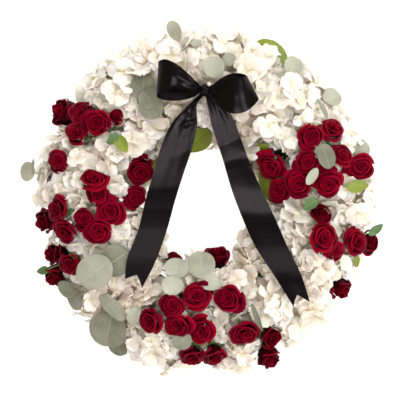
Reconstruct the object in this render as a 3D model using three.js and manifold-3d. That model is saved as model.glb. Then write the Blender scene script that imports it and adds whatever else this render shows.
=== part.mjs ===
// Memorial wreath: white hydrangea heads, red spray roses and silver-dollar eucalyptus pushed into a
// ring of floral foam in a plastic tray, with a black satin bow whose two tails cross the opening.
// Millimetres, +Z up. The wreath lies flat on its tray; the bow is at the +Y side.
import * as THREE from "three";
import { mergeVertices } from "three/addons/utils/BufferGeometryUtils.js";
import Module from "manifold-3d";

const wasm = await Module();
wasm.setup();

// ---- Driving dimensions ----
// Room cut around a piece for its neighbours, and how far cut surfaces may then be evened out.
const FIRM = { gap: 0.7, even: 0.3 }; // stems, leaves, blooms and ribbon
const LOOSE = { gap: 2.4, even: 1 }; // the soft hydrangea heads
const RING = 168; // radius of the ring's centre line: a 16 inch foam ring
const RING_SIDES = 28;

const TRAY = { halfWidth: 36, wall: 2, floor: 2.4, height: 24, flare: 3 };
const FOAM = { halfWidth: 30, top: 54, shoulder: 9 };

const CUSHION = { halfWidth: 82, foot: 48, rise: 74 }; // the crowned mass of flowers over the ring

const RIBBON = { thick: 1, notch: 15 }; // the notch is how deep a tail's end is cut in

const UP = new THREE.Vector3(0, 0, 1);
const vec = (x, y, z) => new THREE.Vector3(x, y, z);

// ---- Solids ----

// A closed geometry as a manifold solid, with its doubled vertices merged and its flat faces dropped.
function solidOf(geometry) {
  const bare = new THREE.BufferGeometry();
  bare.setAttribute("position", geometry.getAttribute("position"));
  if (geometry.index) bare.setIndex(geometry.index);
  const merged = mergeVertices(bare, 1e-3);
  const kept = [];
  const corners = merged.index.array;
  for (let i = 0; i < corners.length; i += 3) {
    const [a, b, c] = corners.slice(i, i + 3);
    if (a !== b && b !== c && a !== c) kept.push(a, b, c);
  }
  const mesh = new wasm.Mesh({
    numProp: 3,
    vertProperties: merged.attributes.position.array,
    triVerts: new Uint32Array(kept),
  });
  return new wasm.Manifold(mesh);
}

function geometryOf(solid) {
  const mesh = solid.getMesh();
  const points = new Float32Array(mesh.numVert * 3);
  for (let i = 0; i < mesh.numVert; i++) {
    const at = i * mesh.numProp;
    points.set(mesh.vertProperties.subarray(at, at + 3), i * 3);
  }
  const geometry = new THREE.BufferGeometry();
  geometry.setAttribute("position", new THREE.BufferAttribute(points, 3));
  geometry.setIndex(new THREE.BufferAttribute(mesh.triVerts, 1));
  return geometry;
}

// Moves each vertex of a geometry to where the function puts it.
function warp(geometry, place) {
  const position = geometry.getAttribute("position");
  const point = new THREE.Vector3();
  for (let i = 0; i < position.count; i++) {
    point.fromBufferAttribute(position, i);
    const moved = place(point);
    position.setXYZ(i, moved.x, moved.y, moved.z);
  }
  return geometry;
}

const union = (solids) => solids.reduce((whole, s) => whole.add(s));

// The largest body of a solid, so that a sliver left by a cut doesn't stay as a crumb.
function largest(solid) {
  return solid.decompose().reduce((best, s) => (s.volume() > best.volume() ? s : best));
}

function boxesTouch(a, b) {
  const p = a.boundingBox();
  const q = b.boundingBox();
  return [0, 1, 2].every((k) => p.min[k] < q.max[k] && q.min[k] < p.max[k]);
}

// A solid with room cut out of it for each of the spaces that its neighbours take.
function fitAround(solid, spaces, even = FIRM.even) {
  const near = spaces.filter((space) => boxesTouch(solid, space));
  const cut = near.reduce((whole, space) => whole.subtract(space), solid);
  return largest(largest(cut).simplify(even));
}

// A profile of [radius, height] pairs turned about +Z.
function turned(profile, sides) {
  const points = profile.map(([r, z]) => new THREE.Vector2(r, z));
  const lathe = new THREE.LatheGeometry(points, sides);
  return lathe.rotateX(Math.PI / 2);
}

// A geometry built along +Z, stood at a point with +Z along an axis.
function stand(geometry, at, axis) {
  const turn = new THREE.Quaternion().setFromUnitVectors(UP, axis.clone().normalize());
  return geometry.applyQuaternion(turn).translate(at.x, at.y, at.z);
}

// A straight stem between two points.
function stem(from, to, radius, sides = 4) {
  const along = to.clone().sub(from);
  const rod = new THREE.CylinderGeometry(radius, radius, along.length(), sides).rotateX(Math.PI / 2);
  return solidOf(stand(rod, from.clone().add(to).multiplyScalar(0.5), along));
}

// ---- The flower cushion ----

// The point of the cushion's crown above (x, y), lifted along its outward normal, and that normal.
function onCushion([x, y], lift = 0) {
  const reach = Math.hypot(x, y);
  const across = THREE.MathUtils.clamp((reach - RING) / CUSHION.halfWidth, -0.95, 0.95);
  const crown = Math.sqrt(1 - across * across);
  const outward = vec(x / reach, y / reach, 0);
  const normal = outward
    .multiplyScalar(across / CUSHION.halfWidth)
    .add(vec(0, 0, crown / CUSHION.rise))
    .normalize();
  const point = vec(x, y, CUSHION.foot + CUSHION.rise * crown).addScaledVector(normal, lift);
  return { point, normal };
}

// The point of the ring's centre line nearest to (x, y), allowed to wander a little to each side.
function overRing([x, y], height, wander = 16) {
  const reach = Math.hypot(x, y);
  const held = THREE.MathUtils.clamp(reach, RING - wander, RING + wander);
  return vec((x * held) / reach, (y * held) / reach, height);
}

// ---- Tray and foam ----

function makeTray() {
  const { halfWidth: w, wall, floor, height: h, flare: f } = TRAY;
  const section = [
    [f - w, 0], [w - f, 0], [w, h], [w - wall, h], [w - wall - f, floor],
    [f + wall - w, floor], [wall - w, h], [-w, h], [f - w, 0],
  ];
  return solidOf(turned(section.map(([r, z]) => [RING + r, z]), RING_SIDES));
}

function makeFoam() {
  const { halfWidth: w, top, shoulder: s } = FOAM;
  const bottom = TRAY.floor + FIRM.gap;
  const section = [
    [-w, bottom], [w, bottom], [w, top - s], [w - s, top], [s - w, top], [-w, top - s], [-w, bottom],
  ];
  return solidOf(turned(section.map(([r, z]) => [RING + r, z]), RING_SIDES));
}

// The room that the tray and foam take, as one plain ring.
function makeRingSpace() {
  const w = TRAY.halfWidth + LOOSE.gap;
  const f = FOAM.halfWidth + LOOSE.gap;
  const lip = TRAY.height + LOOSE.gap;
  const top = FOAM.top + LOOSE.gap;
  const section = [[-w, -1], [w, -1], [w, lip], [f, top], [-f, top], [-w, lip], [-w, -1]];
  return solidOf(turned(section.map(([r, z]) => [RING + r, z]), RING_SIDES));
}

// ---- Ribbon ----

// Each strip is drawn by its two edges, which run side by side from the knot. Edge points are [x, y, z].
const BOW = {
  knot: { at: [1, 161, 134], size: [10, 9, 8] },
  pearl: { at: [7, 169, 142], radius: 3, pin: 0.6, foot: 95 },
  wire: { radius: 1, foot: 22 },
  loopLeft: {
    upper: [
      [-5, 166, 138], [-20, 180, 155], [-38, 194, 166], [-55, 202, 164], [-66, 200, 153],
      [-62, 198, 139], [-42, 190, 128], [-20, 176, 127], [-6, 165, 130],
    ],
    lower: [
      [-5, 158, 139], [-25, 160, 154], [-46, 160, 159], [-61, 157, 154], [-68, 152, 145],
      [-64, 148, 136], [-42, 146, 128], [-20, 150, 126], [-6, 157, 129],
    ],
    stations: 16,
  },
  loopRight: {
    upper: [
      [8, 166, 139], [28, 174, 155], [44, 176, 167], [56, 177, 166], [64, 180, 152], [56, 185, 138],
      [43, 186, 130], [26, 180, 128], [8, 166, 131],
    ],
    lower: [
      [8, 154, 139], [22, 135, 151], [42, 125, 158], [62, 129, 160], [80, 148, 148], [72, 151, 134],
      [50, 147, 128], [26, 152, 127], [8, 158, 130],
    ],
    stations: 16,
  },
  tailLeft: {
    upper: [
      [-4, 158, 128], [-19, 144, 126], [-48, 113, 120], [-63, 80, 113], [-74, 44, 106], [-87, 0, 104],
      [-97, -42, 108], [-113, -86, 119], [-116, -114, 124],
    ],
    lower: [
      [0, 154, 128], [-10, 142, 125], [-10, 113, 118], [-17, 80, 110], [-29, 44, 103], [-43, 0, 100],
      [-55, -43, 103], [-71, -88, 115], [-91, -128, 123],
    ],
    stations: 14,
    notch: RIBBON.notch,
  },
  tailRight: {
    upper: [
      [10, 156, 128], [36, 132, 125], [49, 105, 119], [65, 62, 110], [85, 16, 107], [103, -21, 103],
      [122, -65, 109], [143, -110, 120], [155, -148, 121],
    ],
    lower: [
      [2, 153, 128], [6, 134, 124], [12, 108, 118], [27, 63, 107], [41, 16, 103], [55, -21, 98],
      [75, -66, 103], [104, -111, 117], [131, -155, 121],
    ],
    stations: 16,
    notch: RIBBON.notch,
  },
};

// A strip of ribbon lofted between two edge curves. A tail's end is cut to a fishtail: its middle is a
// notch short of its corners.
function ribbonStrip({ upper, lower, stations, notch = 0 }, grow) {
  const edges = [upper, lower].map(
    (points) => new THREE.CatmullRomCurve3(points.map((p) => vec(...p)), false, "centripetal"),
  );
  const short = notch / edges[0].getLength();
  const strip = new THREE.BoxGeometry(1, 1, RIBBON.thick + 2 * grow, stations, notch > 0 ? 2 : 1, 1);
  return solidOf(
    warp(strip, (p) => {
      const along = (p.x + 0.5) * (1 - short * (1 - 2 * Math.abs(p.y)));
      const [a, b] = edges.map((curve) => curve.getPoint(along));
      const across = b.clone().sub(a).normalize();
      const heading = edges[0].getTangent(along).add(edges[1].getTangent(along)).normalize();
      const face = heading.clone().cross(across).normalize();
      const centre = a.clone().add(b).multiplyScalar(0.5);
      const half = a.distanceTo(b) / 2 + grow;
      return centre
        .addScaledVector(across, 2 * half * p.y)
        .addScaledVector(heading, 2 * grow * p.x)
        .addScaledVector(face, p.z);
    }),
  );
}

function makeKnot(grow) {
  const { at, size } = BOW.knot;
  const [x, y, z] = size.map((s) => s + grow);
  return solidOf(new THREE.SphereGeometry(1, 10, 7).scale(x, y, z).translate(...at));
}

function makePearlPin(grow) {
  const { at, radius, pin, foot } = BOW.pearl;
  const head = solidOf(new THREE.SphereGeometry(radius + grow, 8, 6).translate(...at));
  return head.add(stem(vec(at[0], at[1], foot - grow), vec(...at), pin + grow));
}

function makeBowWire(grow) {
  const [x, y, z] = BOW.knot.at;
  const { radius, foot } = BOW.wire;
  return stem(vec(x, y, foot - grow), vec(x, y, z - BOW.knot.size[2] - FIRM.gap + grow), radius + grow);
}

// ---- Roses ----

// Profiles are [share of the bloom's radius, share of its height]. A rim is pulled out into petal tips.
const BLOOM = {
  open: {
    tall: 0.78,
    profile: [[0, 0], [0.6, 0.14], [1, 0.8], [0.55, 1], [0, 0.82]],
    tips: [0, 0, 0.1, -0.08, 0],
  },
  bud: {
    tall: 1.15,
    profile: [[0, 0], [0.62, 0.12], [0.96, 0.56], [0.5, 1], [0, 0.9]],
    tips: [0, 0, 0.04, 0.1, 0],
  },
};
const BLOOM_SIDES = 10;
const PEDICEL_RADIUS = 1.4;
const SPRAY_STEM_RADIUS = 2.2;
const JUNCTION_HEIGHT = 66; // where a spray's pedicels meet, above the foam
const STEM_FOOT = 24; // how far down the cut stems reach into the foam
const OPEN_SKY = 30; // how far above a bloom its pit in the heads stays open

// Each spray is one cut stem. A flower has its rim's centre [x, y] from the ring's centre, its width, and
// optionally how far its rim stands over the cushion (lift), the way it leans [x, y] and its form.
const SPRAYS = [
  [
    { at: [-231, 139], wide: 56, form: "bud", lean: [-1, 0.1], lift: 0 },
    { at: [-181, 132], wide: 38, lean: [0, 0.1] },
    { at: [-190, 98], wide: 40, lean: [-0.3, 0] },
  ],
  [
    { at: [-156, 112], wide: 44, lean: [0.1, -0.3], lift: 9 },
    { at: [-128, 124], wide: 29, form: "bud", lean: [0.2, 0.3] },
  ],
  [{ at: [-218, 56], wide: 38, lean: [-0.1, -0.4] }],
  [
    { at: [-162, 38], wide: 43, lean: [0, 1] },
    { at: [-155, 12], wide: 38, lean: [0, 0.2], lift: 2 },
  ],
  [
    { at: [-92, 42], wide: 44, lift: -2, lean: [-0.3, 0] },
    { at: [-99, 4], wide: 38, lift: -2, lean: [-0.1, 0] },
  ],
  [
    { at: [-137, -16], wide: 47, lift: 4 },
    { at: [-155, -45], wide: 43, lift: 9 },
    { at: [-177, -25], wide: 36, lean: [-0.1, 0.2], lift: -2 },
  ],
  [
    { at: [-221, -12], wide: 43, lean: [-0.65, 0.1] },
    { at: [-253, -34], wide: 44, form: "bud", lean: [-0.4, -0.2], lift: 0 },
    { at: [-206, -47], wide: 41, lean: [-0.3, -0.2], lift: 8 },
  ],
  [
    { at: [-233, -77], wide: 39, form: "bud", lean: [-0.6, 0.3] },
    { at: [-199, -93], wide: 40, lean: [0, -0.1] },
    { at: [-227, -127], wide: 42, form: "bud", lean: [0.1, -1], lift: 4 },
  ],
  [
    { at: [-83, -175], wide: 44, lean: [-0.5, 0] },
    { at: [-46, -154], wide: 39 },
    { at: [-40, -184], wide: 42, lean: [-0.2, -0.3], lift: 8 },
  ],
  [
    { at: [-10, -139], wide: 50, lean: [0.1, 0.2] },
    { at: [-39, -80], wide: 44, form: "bud", lean: [0, 0.4], lift: -4 },
  ],
  [
    { at: [-5, -191], wide: 44, lift: 4, lean: [-0.3, 0.1] },
    { at: [-17, -237], wide: 46, lean: [0, -0.7] },
    { at: [18, -237], wide: 48, lean: [0.3, -0.8] },
  ],
  [
    { at: [35, -144], wide: 44, lift: 7, lean: [-0.2, 0] },
    { at: [19, -65], wide: 44, form: "bud", lean: [0.2, 0.6], lift: -6 },
  ],
  [
    { at: [59, -198], wide: 47, lean: [0, -0.3] },
    { at: [105, -207], wide: 40, form: "bud", lean: [0.4, -0.1] },
    { at: [103, -246], wide: 43, form: "bud", lean: [0.3, -0.8] },
  ],
  [
    { at: [171, -21], wide: 38, form: "bud", lean: [0, -0.4], lift: 8 },
    { at: [178, -51], wide: 51, lean: [0.35, 0.5], lift: 8 },
  ],
  [
    { at: [196, -78], wide: 36, lean: [0.2, -0.5], lift: 2 },
    { at: [227, -62], wide: 44, lift: 8 },
    { at: [250, -62], wide: 42, form: "bud", lean: [-0.5, 0.1], lift: 4 },
  ],
  [{ at: [219, -145], wide: 44, form: "bud", lean: [0.6, -0.7], lift: -2 }],
  [
    { at: [156, 94], wide: 45, lift: 8 },
    { at: [188, 109], wide: 46, lean: [0.1, 0.5] },
    { at: [151, 57], wide: 37 },
  ],
  [
    { at: [99, 49], wide: 47, lift: 4, lean: [0.1, -0.2] },
    { at: [141, 25], wide: 47, lift: 9 },
    { at: [109, 12], wide: 41, lean: [-0.1, -0.3], lift: 2 },
  ],
  [
    { at: [181, 23], wide: 43, lean: [-0.15, -0.2] },
    { at: [205, 68], wide: 38, lean: [0.1, 0.2] },
    { at: [231, 49], wide: 47, lift: 8, lean: [-0.4, -0.1] },
    { at: [182, 44], wide: 30, lift: -6 },
  ],
];
// Leaflets on the sprays: the spray's number, blade centre, the way the tip points and the blade's size.
const ROSE_LEAVES = [
  { spray: 2, at: [-134, 91], to: [-0.5, -0.4], long: 20, wide: 13, lift: 3 },
  { spray: 2, at: [-121, 83], to: [0.5, -0.8], long: 27, wide: 18, lift: 4 },
  { spray: 8, at: [-243, -105], to: [-1, -0.35], long: 26, wide: 12, lift: 0 },
  { spray: 15, at: [256, -42], to: [0.9, 0.3], long: 32, wide: 13, lift: 4 },
  { spray: 15, at: [230, -92], to: [0.4, -0.9], long: 18, wide: 12, lift: 0 },
  { spray: 18, at: [155, -5], to: [-0.6, -0.5], long: 24, wide: 16, lift: 3 },
  { spray: 19, at: [229, 22], to: [1, 0.15], long: 38, wide: 18, lift: 0 },
];

// Where a flower stands: its rim's centre, the way it faces, its size and the foot of its cup.
function poseOf({ at, wide, lean = [0, 0], lift = 6, form = "open" }) {
  const { point, normal } = onCushion(at, lift);
  const axis = normal.clone().add(UP).add(vec(lean[0], lean[1], 0).multiplyScalar(1.4)).normalize();
  const tall = BLOOM[form].tall * wide * 0.9;
  const foot = point.clone().addScaledVector(axis, -tall);
  return { rim: point, axis, tall, radius: wide / 2, form, foot };
}

// A cupped rose: a turned profile whose rims are drawn out into five petal tips.
function bloomShape({ radius, tall, form, foot, axis }) {
  const { profile, tips } = BLOOM[form];
  const shape = turned(profile.map(([r, z]) => [r * radius, z * tall]), BLOOM_SIDES);
  const rims = profile.map(([r, z], i) => ({ r: r * radius, z: z * tall, tip: tips[i] }));
  warp(shape, (p) => {
    const r = Math.hypot(p.x, p.y);
    const rim = rims.find((one) => Math.abs(one.r - r) < 0.01 && Math.abs(one.z - p.z) < 0.01);
    const pull = 1 - rim.tip * Math.sin(5 * Math.atan2(p.y, p.x));
    return vec(p.x * pull, p.y * pull, p.z);
  });
  return solidOf(stand(shape, foot, axis));
}

// The room a bloom takes: five sides, with a corner at each petal tip, open to above by the given rise.
function bloomSpace({ radius, tall, foot, axis }, grow, rise) {
  const wide = radius * 1.15 + 1.3 * grow;
  const neck = radius * 0.66 + 1.3 * grow;
  const profile = [[0, -1], [neck, -1], [wide, tall * 0.62], [wide, tall + rise], [0, tall + rise]];
  return solidOf(stand(turned(profile, 5), foot, axis));
}

const BLADE_THICK = 2; // at the midrib's middle, thinning to the rim

// A thin blade: a disc drawn out to a leaf's outline, folded along its midrib and cupped.
function bladeShape({ at, to, long, wide, lift = 5, fold = 0.16, lean = [0, 0], tip = 0 }, grow) {
  const { point, normal } = onCushion(at, lift);
  const face = normal.clone().add(UP).add(vec(lean[0], lean[1], 0)).normalize();
  const ahead = vec(to[0], to[1], 0).projectOnPlane(face).normalize();
  const side = face.clone().cross(ahead);
  const half = BLADE_THICK / 2 + grow;
  const disc = turned([[0, -half], [1, -grow], [1, grow], [0, half]], 8);
  warp(disc, (p) => {
    const along = p.x * (long / 2 + grow);
    const across = p.y * (wide / 2 + grow) * (1 - tip * p.x);
    const height = p.z + fold * Math.abs(across) - (0.12 * along * along) / long;
    return point
      .clone()
      .addScaledVector(ahead, along)
      .addScaledVector(side, across)
      .addScaledVector(face, height);
  });
  const base = point.clone().addScaledVector(ahead, -long / 2 + 1.5);
  return { solid: solidOf(disc), base };
}

// One cut stem of roses: its solid, the space that it takes from firm pieces, and the plain pits that it
// leaves in the soft heads.
function makeSpray(flowers, number) {
  const poses = flowers.map(poseOf);
  const leaves = ROSE_LEAVES.filter((leaf) => leaf.spray === number + 1);
  const middle = [0, 1].map((k) => flowers.reduce((sum, f) => sum + f.at[k], 0) / flowers.length);
  const junction = overRing(middle, JUNCTION_HEIGHT);
  const foot = overRing(middle, STEM_FOOT);
  const stalks = (grow) => [
    stem(
      foot.clone().setZ(STEM_FOOT - grow),
      junction.clone().setZ(JUNCTION_HEIGHT + 3),
      SPRAY_STEM_RADIUS + grow,
    ),
    ...poses.map((pose) => {
      const into = pose.foot.clone().addScaledVector(pose.axis, pose.tall * 0.2);
      return stem(junction, into, PEDICEL_RADIUS + grow);
    }),
  ];
  const leaflets = (grow) =>
    leaves.map((leaf) => {
      const { solid, base } = bladeShape({ fold: 0.25, tip: 0.35, ...leaf }, grow);
      return solid.add(stem(junction, base, PEDICEL_RADIUS * 0.8 + grow));
    });
  const around = (grow, rise) => [...stalks(grow), ...poses.map((pose) => bloomSpace(pose, grow, rise))];
  return {
    solid: union([...stalks(0), ...poses.map(bloomShape), ...leaflets(0)]),
    space: [...around(FIRM.gap, 1), ...leaflets(FIRM.gap)],
    pits: [
      union(around(LOOSE.gap, OPEN_SKY)).hull(),
      ...leaflets(LOOSE.gap).map((leaflet) => leaflet.hull()),
    ],
  };
}

// ---- Eucalyptus and broad leaves ----

// Each sprig is one cut stem. A leaf has its blade's centre, the way its tip points, and its size.
const EUCALYPTUS = [
  [
    { at: [-44, 252], to: [-0.4, 0.9], long: 32, wide: 21, lift: 6, lean: [0, -0.7] },
    { at: [-26, 234], to: [0.2, 0.9], long: 14, wide: 10, lift: 6 },
    { at: [-11, 230], to: [0.8, 0.5], long: 16, wide: 11, lift: 6 },
  ],
  [
    { at: [14, 194], to: [-0.2, 0.9], long: 33, wide: 31, lift: 6 },
    { at: [37, 208], to: [0.6, 0.8], long: 22, wide: 20, lift: 0 },
  ],
  [
    { at: [105, 234], to: [0.3, 1], long: 60, wide: 58, lift: -19, lean: [0, -0.5] },
    { at: [132, 199], to: [0.6, 0.8], long: 34, wide: 29, lift: 4 },
    { at: [122, 181], to: [0.4, -0.8], long: 26, wide: 22, lift: -4 },
  ],
  [
    { at: [188, 152], to: [0.9, 0.4], long: 32, wide: 29, lift: 6 },
    { at: [172, 134], to: [0.45, -0.85], long: 32, wide: 9, lift: 6, lean: [0.9, 0.3] },
  ],
  [{ at: [253, 84], to: [0.9, 0.5], long: 32, wide: 30, lift: -18, lean: [-0.4, -0.1] }],
  [
    { at: [-90, 168], to: [0.1, 1], long: 40, wide: 38, lift: -2 },
    { at: [-80, 150], to: [-0.6, 0.6], long: 32, wide: 34, lift: 0 },
    { at: [-77, 137], to: [0.5, -0.8], long: 36, wide: 36, lift: 0 },
  ],
  [
    { at: [-264, 44], to: [-0.9, 0.05], long: 22, wide: 30, lift: 2, lean: [0.9, 0] },
    { at: [-252, 51], to: [-0.2, 0.9], long: 24, wide: 8, lift: 6, lean: [-0.9, 0] },
    { at: [-244, 40], to: [-0.5, -0.9], long: 22, wide: 9, lift: 4, lean: [-0.9, 0.2] },
  ],
  [
    { at: [-158, -102], to: [-0.8, -0.6], long: 56, wide: 51, lift: 9 },
    { at: [-130, -87], to: [0.8, 0.55], long: 48, wide: 48, lift: -4 },
  ],
  [
    { at: [-204, -131], to: [-0.9, 0.2], long: 34, wide: 26, lift: 2 },
    { at: [-193, -149], to: [-0.1, -0.95], long: 34, wide: 26, lift: 0 },
  ],
  [
    { at: [-131, -152], to: [-0.7, 0.72], long: 52, wide: 22, lift: 12, lean: [0.7, 0.5], fold: 0.3 },
    { at: [-139, -186], to: [-0.3, -0.95], long: 62, wide: 59, lift: 6 },
    { at: [-132, -226], to: [0.1, -0.95], long: 32, wide: 30, lift: -6 },
    { at: [-103, -168], to: [0.3, 0.95], long: 26, wide: 18, lift: 2 },
  ],
  [
    { at: [-43, -103], to: [0.05, 1], long: 32, wide: 36, lift: 6 },
    { at: [-47, -125], to: [0, -1], long: 29, wide: 32, lift: 3 },
    { at: [-4, -100], to: [-0.15, 1], long: 44, wide: 41, lift: 6 },
    { at: [8, -118], to: [0.9, -0.2], long: 36, wide: 24, lift: -5 },
  ],
  [
    { at: [-33, -208], to: [-0.6, -0.6], long: 30, wide: 28, lift: -4 },
    { at: [77, -170], to: [0.35, -0.9], long: 44, wide: 8, lift: 2, lean: [-0.6, 0] },
  ],
  [
    { at: [176, 65], to: [-0.3, 0.95], long: 38, wide: 26, lift: 8 },
    { at: [158, 36], to: [-0.5, -0.8], long: 28, wide: 14, lift: 4 },
  ],
];

// Broad green leaves that collar the flowers at the inner edge and under the rim.
const BROAD_LEAVES = [
  [{ at: [-15, 83], to: [-0.6, -0.8], long: 62, wide: 42, lift: -8, tip: 0.3, lean: [0, -0.4] }],
  [{ at: [-67, 53], to: [0.5, -0.8], long: 36, wide: 26, lift: -14, tip: 0.3 }],
  [{ at: [77, 67], to: [-0.95, -0.35], long: 36, wide: 22, lift: -14, tip: 0.3 }],
  [{ at: [90, 24], to: [-0.4, 0.9], long: 60, wide: 28, lift: -8, tip: 0.35 }],
];

const SPRIG_STEM_RADIUS = 1.5;

// One cut sprig: a stem in the foam and a petiole to each blade.
function makeSprig(leaves) {
  const middle = [0, 1].map((k) => leaves.reduce((sum, leaf) => sum + leaf.at[k], 0) / leaves.length);
  const junction = overRing(middle, JUNCTION_HEIGHT, 24);
  const foot = junction.clone().setZ(STEM_FOOT);
  const stalk = (grow) =>
    stem(
      foot.clone().setZ(STEM_FOOT - grow),
      junction.clone().setZ(JUNCTION_HEIGHT + 2),
      SPRIG_STEM_RADIUS + grow,
    );
  const blades = (grow) =>
    leaves.map((leaf) => {
      const { solid, base } = bladeShape(leaf, grow);
      return solid.add(stem(junction, base, SPRIG_STEM_RADIUS * 0.8 + grow));
    });
  return {
    solid: union([stalk(0), ...blades(0)]),
    space: [stalk(FIRM.gap), ...blades(FIRM.gap)],
    pits: [stalk(LOOSE.gap), ...blades(LOOSE.gap).map((blade) => blade.hull())],
  };
}

// ---- Hydrangea heads ----

// Two rows of heads, squeezed against each other: an outer row and an inner row on the ring's slopes.
const HEAD_ROWS = [
  { count: 9, from: 10, reach: 196, across: 54, along: 96, rise: 70 },
  { count: 6, from: 30, reach: 133, across: 49, along: 92, rise: 68 },
];
const HEAD = { centre: 50, droop: 44, power: 2.5, floretBump: 0.09, stemRadius: 3.5 };

function headsOf({ count, from, reach, ...size }) {
  return Array.from({ length: count }, (_, i) => {
    const bearing = THREE.MathUtils.degToRad(from + (360 / count) * i);
    return {
      ...size,
      outward: vec(Math.cos(bearing), Math.sin(bearing), 0),
      centre: vec(Math.cos(bearing) * reach, Math.sin(bearing) * reach, HEAD.centre),
    };
  });
}
const HEADS = HEAD_ROWS.flatMap(headsOf);

// How far a head reaches from its centre along a direction: a rounded box, stopped halfway to each
// neighbour and just above the surface that the wreath lies on.
function headReach(head, direction) {
  const { outward, centre, across, along, rise } = head;
  const sideways = vec(-outward.y, outward.x, 0);
  const shares = [
    Math.abs(direction.dot(outward)) / across,
    Math.abs(direction.dot(sideways)) / along,
    direction.z > 0 ? direction.z / rise : -direction.z / HEAD.droop,
  ];
  const free = shares.reduce((sum, s) => sum + s ** HEAD.power, 0) ** (-1 / HEAD.power);
  const limits = HEADS.filter((other) => other !== head).map((other) => {
    const apart = other.centre.clone().sub(centre);
    const facing = direction.dot(apart) / apart.length();
    return facing > 0.01 ? (apart.length() / 2 - FIRM.gap) / facing : Infinity;
  });
  return Math.min(free, ...limits);
}

// A head's florets show as bumps: the ball's corners and the middles of its sides stand out, and the
// points between them sink.
function makeHeadDome(head) {
  const corners = new THREE.IcosahedronGeometry(1).getAttribute("position");
  const nearestCorner = (d) => {
    const angles = Array.from({ length: corners.count }, (_, i) =>
      d.angleTo(vec(corners.getX(i), corners.getY(i), corners.getZ(i))),
    );
    return THREE.MathUtils.radToDeg(Math.min(...angles));
  };
  const spin = new THREE.Quaternion().setFromAxisAngle(UP, head.centre.x * 0.37 + head.centre.y * 0.11);
  return solidOf(
    warp(new THREE.IcosahedronGeometry(1, 2), (p) => {
      const direction = p.clone().normalize();
      const corner = nearestCorner(direction);
      const bump = corner < 5 || corner > 30 ? 1 : 1 - HEAD.floretBump;
      direction.applyQuaternion(spin);
      return head.centre.clone().addScaledVector(direction, headReach(head, direction) * bump);
    }),
  );
}

function headStem(head, grow) {
  const foot = overRing([head.centre.x, head.centre.y], STEM_FOOT - grow, 8);
  return stem(foot, foot.clone().setZ(JUNCTION_HEIGHT + 4), HEAD.stemRadius + grow, 5);
}

// ---- Assembly: each piece is fitted around the ones placed before it ----

const colours = {
  tray: 0x2c3a2a, foam: 0x3d5b35, satin: 0x141114, pearl: 0xe9ddd2, wire: 0x55604a,
  rose: 0x8e0a1c, eucalyptus: 0x93a594, leaf: 0x6d9a22, hydrangea: 0xf4efe4,
};
const finishes = {
  satin: { roughness: 0.35, metalness: 0 },
  pearl: { roughness: 0.25, metalness: 0 },
  wire: { roughness: 0.5, metalness: 0.6 },
};
const materials = Object.fromEntries(
  Object.entries(colours).map(([name, color]) => {
    const finish = finishes[name] ?? { roughness: 0.75, metalness: 0 };
    return [name, new THREE.MeshStandardMaterial({ color, ...finish })];
  }),
);

const wreath = new THREE.Group();
function place(name, solid, material) {
  const mesh = new THREE.Mesh(geometryOf(solid), materials[material]);
  mesh.name = name;
  wreath.add(mesh);
}
const numbered = (word, i) => `${word}_${String(i + 1).padStart(2, "0")}`;

// The bow.
const bow = [
  ["bow_knot", makeKnot, "satin"],
  ["pearl_pin", makePearlPin, "pearl"],
  ["bow_wire", makeBowWire, "wire"],
  ["bow_loop_left", (grow) => ribbonStrip(BOW.loopLeft, grow), "satin"],
  ["bow_loop_right", (grow) => ribbonStrip(BOW.loopRight, grow), "satin"],
  ["ribbon_tail_left", (grow) => ribbonStrip(BOW.tailLeft, grow), "satin"],
  ["ribbon_tail_right", (grow) => ribbonStrip(BOW.tailRight, grow), "satin"],
];
const taken = [];
for (const [name, make, material] of bow) {
  place(name, fitAround(make(0), taken), material);
  taken.push(make(FIRM.gap));
}

// The roses.
const sprays = SPRAYS.map(makeSpray);
sprays.forEach((spray, i) => {
  place(numbered("rose_spray", i), fitAround(spray.solid, taken), "rose");
  taken.push(...spray.space);
});

// The leaves.
const sprigs = EUCALYPTUS.map(makeSprig);
const collars = BROAD_LEAVES.map(makeSprig);
for (const [word, group, material] of [
  ["eucalyptus_sprig", sprigs, "eucalyptus"],
  ["broad_leaf", collars, "leaf"],
])
  group.forEach((sprig, i) => {
    place(numbered(word, i), fitAround(sprig.solid, taken), material);
    taken.push(...sprig.space);
  });

// The hydrangea heads fill in around everything else.
const ringSpace = makeRingSpace();
const pits = [
  ...bow.map(([, make]) => make(LOOSE.gap)),
  ...[...sprays, ...sprigs, ...collars].flatMap((cut) => cut.pits.map((pit) => pit.simplify(LOOSE.even))),
];
HEADS.forEach((head, i) => {
  const whole = makeHeadDome(head).subtract(ringSpace).add(headStem(head, 0));
  place(numbered("hydrangea_head", i), fitAround(whole, pits, LOOSE.even), "hydrangea");
  taken.push(headStem(head, FIRM.gap));
});

// The foam takes every stem, and stands in the tray.
place("foam_ring", fitAround(makeFoam(), taken), "foam");
place("ring_tray", makeTray(), "tray");

// The origin is the middle of the wreath's footprint, on the surface it lies on.
const bounds = new THREE.Box3().setFromObject(wreath);
const middle = bounds.getCenter(new THREE.Vector3());
for (const mesh of wreath.children) mesh.geometry.translate(-middle.x, -middle.y, 0);

export default wreath;
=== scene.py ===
"""Looks of the memorial wreath: white hydrangea, dark red spray roses and eucalyptus on a foam ring, with
a black satin bow. Tables are in millimetres from the ring's centre; meshes are made in metres."""

import math
import random

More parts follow.
